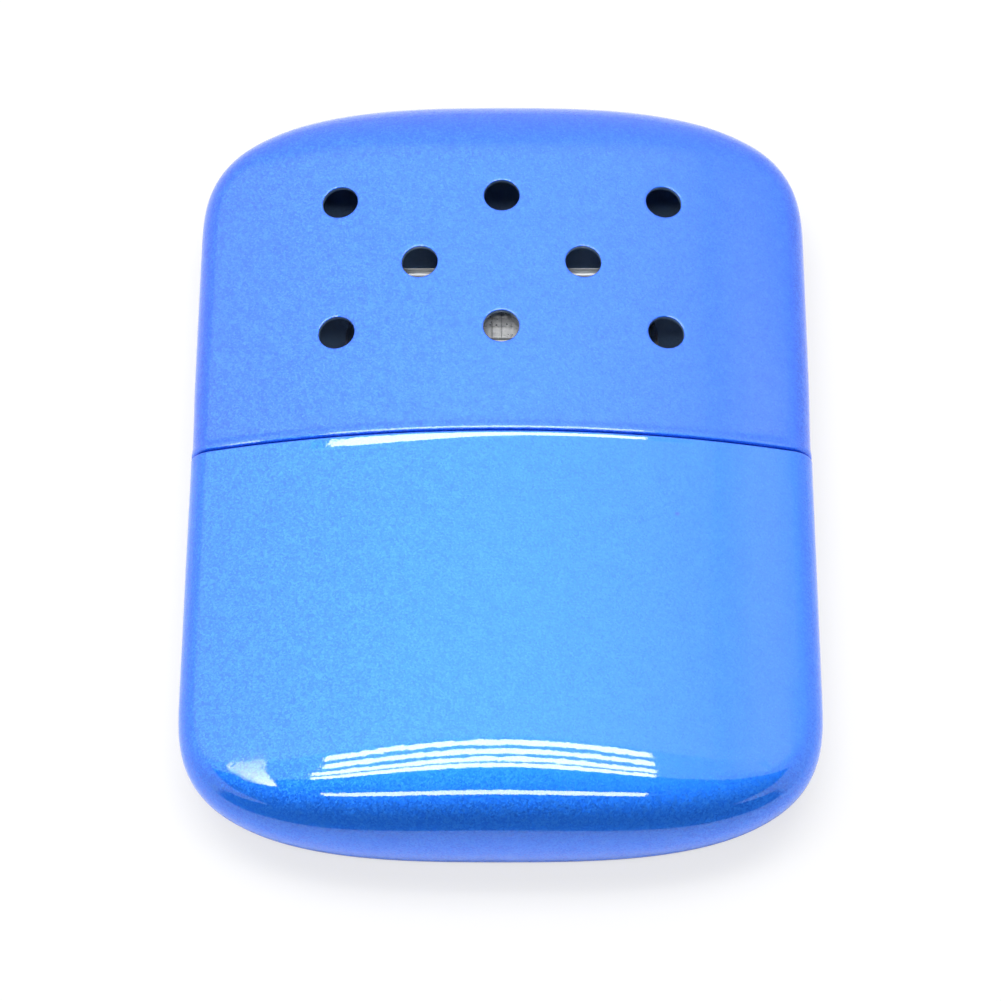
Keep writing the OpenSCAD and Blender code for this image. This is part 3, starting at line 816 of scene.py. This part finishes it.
soft_sweep("felt_pad", pad, "tank", ["wick_pad"], FELT, 0.05, 3, 1.6)


def cotton_ring(y, inset):
    """Outline of the filling at a level: the case's section drawn in at the closed end."""
    s = max(0.0, -y - CORNER_Y) / (REACH - 0.9)
    if s <= 0:
        return section_ring(inset)
    across = (1 - min(s, 1.0) ** POWER) ** (1 / POWER)
    over = max(0.0, -y - 30.0) / 7.9
    thick = math.sqrt(max(0.0, 1 - over**2))
    ring = section_ring(inset)
    return ring * [max(across, 0.02), max(thick, 0.02)]


END_ROWS = np.array([0.05, 0.15, 0.35, 0.6, 1.0, 1.5, 2.1, 2.9, 3.8, 4.8, 6, 7.2, 8.5, 10, 12, 14])
wad = [(cotton_ring(y, 0.95), y) for y in -38.1 + END_ROWS]
wad += [(section_ring(0.95), y) for y in np.linspace(-22, -6.6, 12)]
wad += [(section_ring(1.6), y) for y in np.linspace(-5.9, 1.2, 7)]
wad += [(section_ring(d), y) for d, y in ((1.75, 1.6), (2.1, 1.8), (3.0, 1.84), (4.2, 1.84), (5.2, 1.84))]
soft_sweep("cotton_wad", wad, "tank", ["cotton_fill"], COTTON, 0.5, 5, 5.0)

# ---- Burner ----
profile = [(0, 7.34), (0.0, 7.3), (-0.06, 7.24), (-0.28, 7.24), (-0.35, 7.32), (-0.35, 9.0)]
profile += [(-0.35, 11.3), (-0.3, 11.34), (-0.03, 11.34), (0, 11.3), (0, 10.9)]
for t in np.linspace(0, 1, 9):
    profile.append((-0.07 * (0.5 - 0.5 * math.cos(2 * math.pi * t)), 10.0 - 0.9 * t))
profile += [(0, 8.4)]
skirt = [(around(19.9, 6.9, o), y) for o, y in profile]
sweep("skirt", skirt, "burner", ["burner_skirt"], SATIN)


def frame_piece(name, front, replaces):
    """Stamped window frame: an outer edge turned out and over, and a rib round the window."""
    cy, cw = 11.34 + 8.1 / 2, 12.04 + 6.85 / 2
    outer, inner = plate_ring(24.4, 8.1, 0.45), plate_ring(21.8, 6.85, 0.6)
    outer = outer + [0, cy]
    inner = inner + [0, cw]

    def ring(f):
        return outer * (1 - f) + inner * f

    low, top, edge_top = 3.05, 3.45, 3.9
    rows = [(ring(0.04), low), (ring(0.0), low + 0.05), (ring(0.0), edge_top - 0.07)]
    for a in np.linspace(0.4, math.pi - 0.4, 6):
        rows.append((ring(0.11 - 0.11 * math.cos(a)), edge_top - 0.07 + 0.07 * math.sin(a)))
    rows += [(ring(0.24), edge_top - 0.14), (ring(0.27), top + 0.05), (ring(0.33), top - 0.04)]
    for f in np.linspace(0.4, 0.82, 9):
        rows.append((ring(f), top - 0.05 + 0.05 * math.sin(math.pi * (f - 0.35) / 0.5) ** 2))
    rows += [(ring(0.9), top - 0.06), (ring(0.96), top - 0.1), (ring(1.0), top - 0.17)]
    rows += [(ring(1.0), low + 0.06), (ring(0.96), low), (ring(0.5), low)]
    n = len(outer)
    sg = 1 if front else -1
    P = [(x, y, MID_Z + sg * z) for r, z in rows for x, y in r]
    ids = [[k * n + j for j in range(n)] for k in range(len(rows))]
    obj = make_object(name, P, loft(ids + [ids[0]]), "burner", replaces, SATIN)
    outward(obj)
    sharpen(obj, 40)
    return obj


frame_piece("window_frame_front", True, ["burner_frame_front"])
frame_piece("window_frame_back", False, ["burner_frame_back"])

MESH_CY, SCREEN_PITCH, WOOL_W, WOOL_H = 15.39, 0.9, 22.8, 7.3
WOOL_GRID = (191, 62)
STRANDS, STRAND_POINTS, STRAND_STEP, STRAND_TOP = 620, 16, 0.13, 3.9
THIRD = 2.0944  # a third of a turn


def dome(u, v):
    """How far the wool pushes the screen out of the window."""
    return 0.75 * smooth((np.minimum(WOOL_W / 2 - np.abs(u), WOOL_H / 2 - np.abs(v)) - 0.1) / 1.3)


def on_screen(side):
    """Places a wire's point on the domed screen of the front (1) or the back (-1)."""
    return lambda u, v, z: (u, MESH_CY + v, MID_Z + side * (2.925 + float(dome(u, v))) + z)


for side, label in ((1, "front"), (-1, "back")):
    woven(f"wire_screen_{label}", 22.7, 7.4, SCREEN_PITCH, 0.085, on_screen(side),
          "burner", [f"screen_{label}"])


def wool(name, side, replaces, seed):
    """Glass wool: a pad that bulges out between the wires, with loose curled strands."""
    rng = np.random.default_rng(seed)
    w, h = WOOL_W, WOOL_H
    nx, ny = WOOL_GRID
    x, y = np.meshgrid(np.linspace(-w / 2, w / 2, nx), np.linspace(-h / 2, h / 2, ny))
    edge = np.minimum(w / 2 - np.abs(x), h / 2 - np.abs(y))
    rounding = 0.45 * (1 - np.sqrt(np.clip(1 - (1 - np.clip(edge / 0.45, 0, 1)) ** 2, 0, 1)))
    flat = np.stack([x.ravel(), y.ravel(), np.zeros(x.size)], 1)
    bumps = (lumpy(flat, 0.16, seed, 1.1) + lumpy(flat, 0.10, seed + 1, 0.45)).reshape(x.shape)
    waves = []
    for v, length in ((x, w), (y, h)):
        count = int((length - 0.1) / SCREEN_PITCH)
        waves.append(np.abs(np.sin(math.pi * (v / SCREEN_PITCH - (count - 1) / 2))))
    bulge = 0.3 * (waves[0] * waves[1]) ** 0.3
    high = 2.78 - rounding + dome(x, y) + np.clip(bumps, -0.12, 0.08) * 0.7
    high = high + bulge * smooth((edge - 0.3) / 0.8)
    low = 0.27 + rounding * 0.6
    P = []
    for level in (high, low):
        P += [(a, MESH_CY + b, MID_Z + side * c) for a, b, c in zip(x.ravel(), y.ravel(), level.ravel())]
    m = nx * ny
    F = []
    for j in range(ny - 1):
        for i in range(nx - 1):
            a = j * nx + i
            F.append((a, a + 1, a + nx + 1, a + nx))
            F.append((m + a + nx, m + a + nx + 1, m + a + 1, m + a))
    rim = list(range(nx)) + [j * nx + nx - 1 for j in range(1, ny)]
    rim += [(ny - 1) * nx + i for i in range(nx - 2, -1, -1)] + [j * nx for j in range(ny - 2, 0, -1)]
    for a, b in zip(rim, rim[1:] + rim[:1]):
        F.append((a, m + a, m + b, b))
    # Strands
    n = STRAND_POINTS
    for _ in range(STRANDS):
        px, py = rng.uniform(-w / 2 + 0.6, w / 2 - 0.6), rng.uniform(-h / 2 + 0.6, h / 2 - 0.6)
        a = rng.uniform(0, 2 * math.pi)
        bend = rng.normal(0, 0.22)
        line = []
        for _ in range(n):
            line.append((px, py))
            bend = 0.85 * bend + rng.normal(0, 0.12)
            a += bend
            px = float(np.clip(px + STRAND_STEP * math.cos(a), -w / 2 + 0.3, w / 2 - 0.3))
            py = float(np.clip(py + STRAND_STEP * math.sin(a), -h / 2 + 0.3, h / 2 - 0.3))
        gx = [int(round((u + w / 2) / w * (nx - 1))) for u, v in line]
        gy = [int(round((v + h / 2) / h * (ny - 1))) for u, v in line]
        under = np.pad([high[b, a_] for a_, b in zip(gx, gy)], 2, "edge")
        z = np.convolve(under, np.ones(5) / 5, "valid")
        z = z + 0.03 + 0.05 * np.sin(np.linspace(0, math.pi, n)) * rng.uniform(0, 1)
        z = np.minimum(z, STRAND_TOP)
        r = rng.uniform(0.014, 0.026)
        start = len(P)
        pts = np.array([(u, v, c) for (u, v), c in zip(line, z)])
        t = np.gradient(pts, axis=0)
        t /= np.linalg.norm(t, axis=1)[:, None] + 1e-9
        s1 = np.cross(t, [0, 0, 1.0])
        s1 /= np.linalg.norm(s1, axis=1)[:, None] + 1e-9
        s2 = np.cross(t, s1)
        for p_, u_, v_ in zip(pts, s1, s2):
            for k in range(3):
                turn = THIRD * k
                q = p_ + r * (math.cos(turn) * u_ + math.sin(turn) * v_)
                P.append((q[0], MESH_CY + q[1], MID_Z + side * q[2]))
        for i in range(n - 1):
            for k in range(3):
                here, m = start + i * 3, (k + 1) % 3
                F.append((here + k, here + m, here + 3 + m, here + 3 + k))
        F.append((start + 2, start + 1, start))
        F.append((start + n * 3 - 3, start + n * 3 - 2, start + n * 3 - 1))
    obj = make_object(name, P, F, "burner", replaces, FIBRE)
    outward(obj)


wool("wool_front", 1, ["catalyst_fibre_front"], 21)
wool("wool_back", -1, ["catalyst_fibre_back"], 23)


def rivets():
    """Two rivets with domed heads, joined in one piece as the CAD has them."""
    P, F = [], []
    prof = [(11.6, 0.0), (11.61, 0.38), (11.68, 0.58), (11.8, 0.65), (11.9, 0.65), (11.9, 0.4)]
    prof += [(12.45, 0.4), (12.45, 0.65), (12.5, 0.65), (12.6, 0.60), (12.68, 0.47), (12.735, 0.27), (12.75, 0.0)]
    n, rivet_y = 28, 18.34
    for sg in (1, -1):
        rings = []
        for x, r in prof:
            if r == 0:
                rings.append([len(P)])
                P.append((sg * x, rivet_y, MID_Z))
                continue
            rings.append(list(range(len(P), len(P) + n)))
            for k in range(n):
                a_ = 2 * math.pi * k / n
                P.append((sg * x, rivet_y + r * math.cos(a_), MID_Z + r * math.sin(a_)))
        for a, b in zip(rings, rings[1:]):
            for k in range(n):
                m = (k + 1) % n
                if len(a) == 1:
                    F.append((a[0], b[k], b[m]))
                elif len(b) == 1:
                    F.append((a[k], a[m], b[0]))
                else:
                    F.append((a[k], a[m], b[m], b[k]))
    obj = make_object("rivet_pair", P, F, "burner", ["spring_rivets"], RIVET)
    outward(obj)
    sharpen(obj, 35)


rivets()

# These keep their CAD meshes
PLAIN = {
    "burner_base": SATIN, "burner_band": SATIN, "fibre_spacer": WIRE,
    "side_spring_left": SPRING, "side_spring_right": SPRING,
}
for name, mat in PLAIN.items():
    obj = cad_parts[name]
    obj.data.materials.clear()
    obj.data.materials.append(mat)


# ---- Studio, in metres and degrees ----
FLOOR_GLOW = 0.72  # share of the floor that glows to the camera; the rest takes shadows
WORLD_DIFFUSE = 0.1  # strength of the white surroundings as light on matt surfaces


def stage_mesh(name, points, faces, mat):
    mesh = bpy.data.meshes.new(name)
    mesh.from_pydata(points, [], faces)
    obj = bpy.data.objects.new(name, mesh)
    obj.data.materials.append(mat)
    bpy.context.scene.collection.objects.link(obj)
    return obj


floor = Nodes("floor").set(Base_Color=(0.9, 0.9, 0.9, 1), Roughness=0.8)
floor.shader.inputs["Specular IOR Level"].default_value = 0.1
glow = floor.add("ShaderNodeEmission")
path = floor.add("ShaderNodeLightPath")
share = floor.add("ShaderNodeMath", operation="MULTIPLY", in_1=FLOOR_GLOW)
floor.link(path.outputs["Is Camera Ray"], share.inputs[0])
blend = floor.add("ShaderNodeMixShader")
floor.link(share.outputs[0], blend.inputs[0])
floor.link(floor.shader.outputs[0], blend.inputs[1])
floor.link(glow.outputs[0], blend.inputs[2])
floor.link(blend.outputs[0], floor.tree.nodes["Material Output"].inputs[0])
S = 4.0
stage_mesh("floor", [(-S, -S, 0), (S, -S, 0), (S, S, 0), (-S, S, 0)], [(0, 1, 2, 3)], floor.mat)


def card(name, corners, radiance, fades, rise=0.0):
    """A soft-edged lamp or dark screen that only light paths see. The fades are the shares
    of its length over which it fades in from its left, right, first and last edges. Its
    radiance grows by the share rise towards its last edge."""
    n = Nodes(name)
    n.tree.nodes.remove(n.shader)
    place = n.add("ShaderNodeSeparateXYZ")
    n.link(n.add("ShaderNodeTexCoord").outputs["UV"], place.inputs[0])
    total = None
    sides = ((0, True), (0, False), (1, True), (1, False))
    for (axis, low), fade in zip(sides, fades):
        if not fade:
            continue
        step = n.add("ShaderNodeMapRange", interpolation_type="SMOOTHSTEP")
        step.inputs["From Min"].default_value = 0.0 if low else 1.0
        step.inputs["From Max"].default_value = fade if low else 1.0 - fade
        n.link(place.outputs[axis], step.inputs["Value"])
        if total is None:
            total = step.outputs[0]
        else:
            both = n.add("ShaderNodeMath", operation="MULTIPLY")
            n.link(total, both.inputs[0])
            n.link(step.outputs[0], both.inputs[1])
            total = both.outputs[0]
    light, clear = n.add("ShaderNodeEmission"), n.add("ShaderNodeBsdfTransparent")
    mix = n.add("ShaderNodeMixShader")
    grow = n.add("ShaderNodeMapRange")
    grow.inputs["To Min"].default_value = radiance * (1 - rise)
    grow.inputs["To Max"].default_value = radiance
    n.link(place.outputs[1], grow.inputs["Value"])
    n.link(grow.outputs[0], light.inputs["Strength"])
    n.link(total, mix.inputs[0])
    n.link(clear.outputs[0], mix.inputs[1])
    n.link(light.outputs[0], mix.inputs[2])
    n.link(mix.outputs[0], n.tree.nodes["Material Output"].inputs[0])
    obj = stage_mesh(name, corners, [(0, 1, 2, 3)], n.mat)
    layer = obj.data.uv_layers.new(name="place")
    for i, uv in enumerate(((0, 0), (1, 0), (1, 1), (0, 1))):
        layer.data[i].uv = uv
    obj.visible_camera = False
    obj.visible_shadow = False
    obj.visible_diffuse = radiance > 0.1
    return obj


# A dark ceiling and front of the room, which only reflections see
W2, H2, Y0, Y1 = 1.7, 1.25, 0.07, -1.7
W3, GLIMMER = 3.4, 0.06
ceiling = [(-W2, Y1, H2), (W2, Y1, H2), (W2, Y0, H2), (-W2, Y0, H2)]
card("dark_ceiling", ceiling, GLIMMER, (0.05, 0.05, 0, 0))
front = [(-W3, Y1, 0.001), (W3, Y1, 0.001), (W3, Y1, H2), (-W3, Y1, H2)]
card("dark_front", front, GLIMMER, (0.15, 0.15, 0, 0))

# White surroundings, seen in full by the camera and in gloss, and much weaker as light
world = bpy.data.worlds.new("studio")
bpy.context.scene.world = world
world.use_nodes = True
wt = world.node_tree
back = wt.nodes["Background"]
back.inputs["Color"].default_value = (1, 1, 1, 1)
path = wt.nodes.new("ShaderNodeLightPath")
seen = path.outputs["Is Camera Ray"]
for ray in ("Is Glossy Ray", "Is Transmission Ray"):
    either = wt.nodes.new("ShaderNodeMath")
    either.operation = "MAXIMUM"
    wt.links.new(seen, either.inputs[0])
    wt.links.new(path.outputs[ray], either.inputs[1])
    seen = either.outputs[0]
level = wt.nodes.new("ShaderNodeMapRange")
wt.links.new(seen, level.inputs["Value"])
level.inputs["To Min"].default_value = WORLD_DIFFUSE
level.inputs["To Max"].default_value = 1.0
wt.links.new(level.outputs[0], back.inputs["Strength"])

LAMP_H = 0.8


def overhead(near, far, left, right):
    """Plan limits of a flat lamp. Near and far are degrees from the vertical towards the
    camera's side, left and right are degrees across at its middle line."""
    y0, y1 = (-LAMP_H * math.tan(math.radians(a)) for a in (near, far))
    reach = math.hypot(LAMP_H, (y0 + y1) / 2)
    return reach * math.tan(math.radians(left)), reach * math.tan(math.radians(right)), y0, y1


def lamp(name, near, far, left, right, radiance):
    """A flat lamp with crisp edges, within the limits of overhead()."""
    x0, x1, y0, y1 = overhead(near, far, left, right)
    light = bpy.data.lights.new(name, "AREA")
    light.shape = "RECTANGLE"
    light.size, light.size_y = x1 - x0, abs(y1 - y0)
    light.energy = radiance * math.pi * light.size * light.size_y
    obj = bpy.data.objects.new(name, light)
    obj.location = ((x0 + x1) / 2, (y0 + y1) / 2, LAMP_H)
    obj.visible_camera = False
    bpy.context.scene.collection.objects.link(obj)
    return obj


def soft_lamp(name, near, far, left, right, radiance, fades, rise=0.0):
    """The same as lamp(), but with soft edges. Its last edge is the far one."""
    x0, x1, y0, y1 = overhead(near, far, left, right)
    corners = [(x0, y0, LAMP_H), (x1, y0, LAMP_H), (x1, y1, LAMP_H), (x0, y1, LAMP_H)]
    card(name, corners, radiance, fades, rise)


# Four tubes, each at its angle, with its left and right ends
TUBES = ((-17.0, -21.5, 17.6), (-12.0, -21.8, 17.6), (-7.0, -23.3, 17.8), (-3.0, -23.3, 17.6))
TUBE_HALF = 1.45
for i, (angle, left, right) in enumerate(TUBES):
    lamp(f"tube_{i}", angle + TUBE_HALF, angle - TUBE_HALF, left, right, 12.5)
lamp("tube_front", 24.0, 19.0, -21.5, 16.0, 11.0)
# Light on the wool under the vents, which no gloss shows
lamp("fill_top", -8.0, 8.0, -20.0, 20.0, 3.5).visible_glossy = False
soft_lamp("panel_back", -20.0, -48.0, -52.0, 38.0, 1.52, (0.2, 0.27, 0, 0.4))
soft_lamp("corner_left", -27.0, 8.0, -37.0, -30.6, 13.0, (0.75, 0.05, 0.3, 0.05), 0.75)
soft_lamp("corner_right", -42.0, -4.0, 25.0, 38.0, 1.6, (0.45, 0.45, 0.3, 0.3))

# ---- Camera, fitted to the photograph ----
ELEV, AZ, ROLL = math.radians(62.131), math.radians(-0.999), math.radians(0.899)
DIST, OX, OY = 331.590, 0.12406, 3.03915


def unturn(v):
    c, s = math.cos(AZ), math.sin(AZ)
    return Vector((v[0] * c + v[1] * s, -v[0] * s + v[1] * c, v[2]))


high, flat = math.sin(ELEV), math.cos(ELEV)
cam_pos = unturn((-OX, -OY * high - DIST * flat, -OY * flat + DIST * high))
right = unturn((1, 0, 0))
up = unturn((0, math.sin(ELEV), math.cos(ELEV)))
c, s = math.cos(ROLL), math.sin(ROLL)
right, up = right * c - up * s, right * s + up * c
back_axis = right.cross(up)
camera = bpy.data.cameras.new("camera")
camera.sensor_width = 36.0
camera.lens = 127.84
camera.clip_start = 0.01
cam = bpy.data.objects.new("camera", camera)
turned = Matrix((right, up, back_axis)).transposed().to_4x4()
cam.matrix_world = Matrix.Translation((cam_pos + Vector((0, 0, MID_Z))) * MM) @ turned
bpy.context.scene.collection.objects.link(cam)
bpy.context.scene.camera = cam
bpy.context.scene.view_settings.view_transform = "Standard"
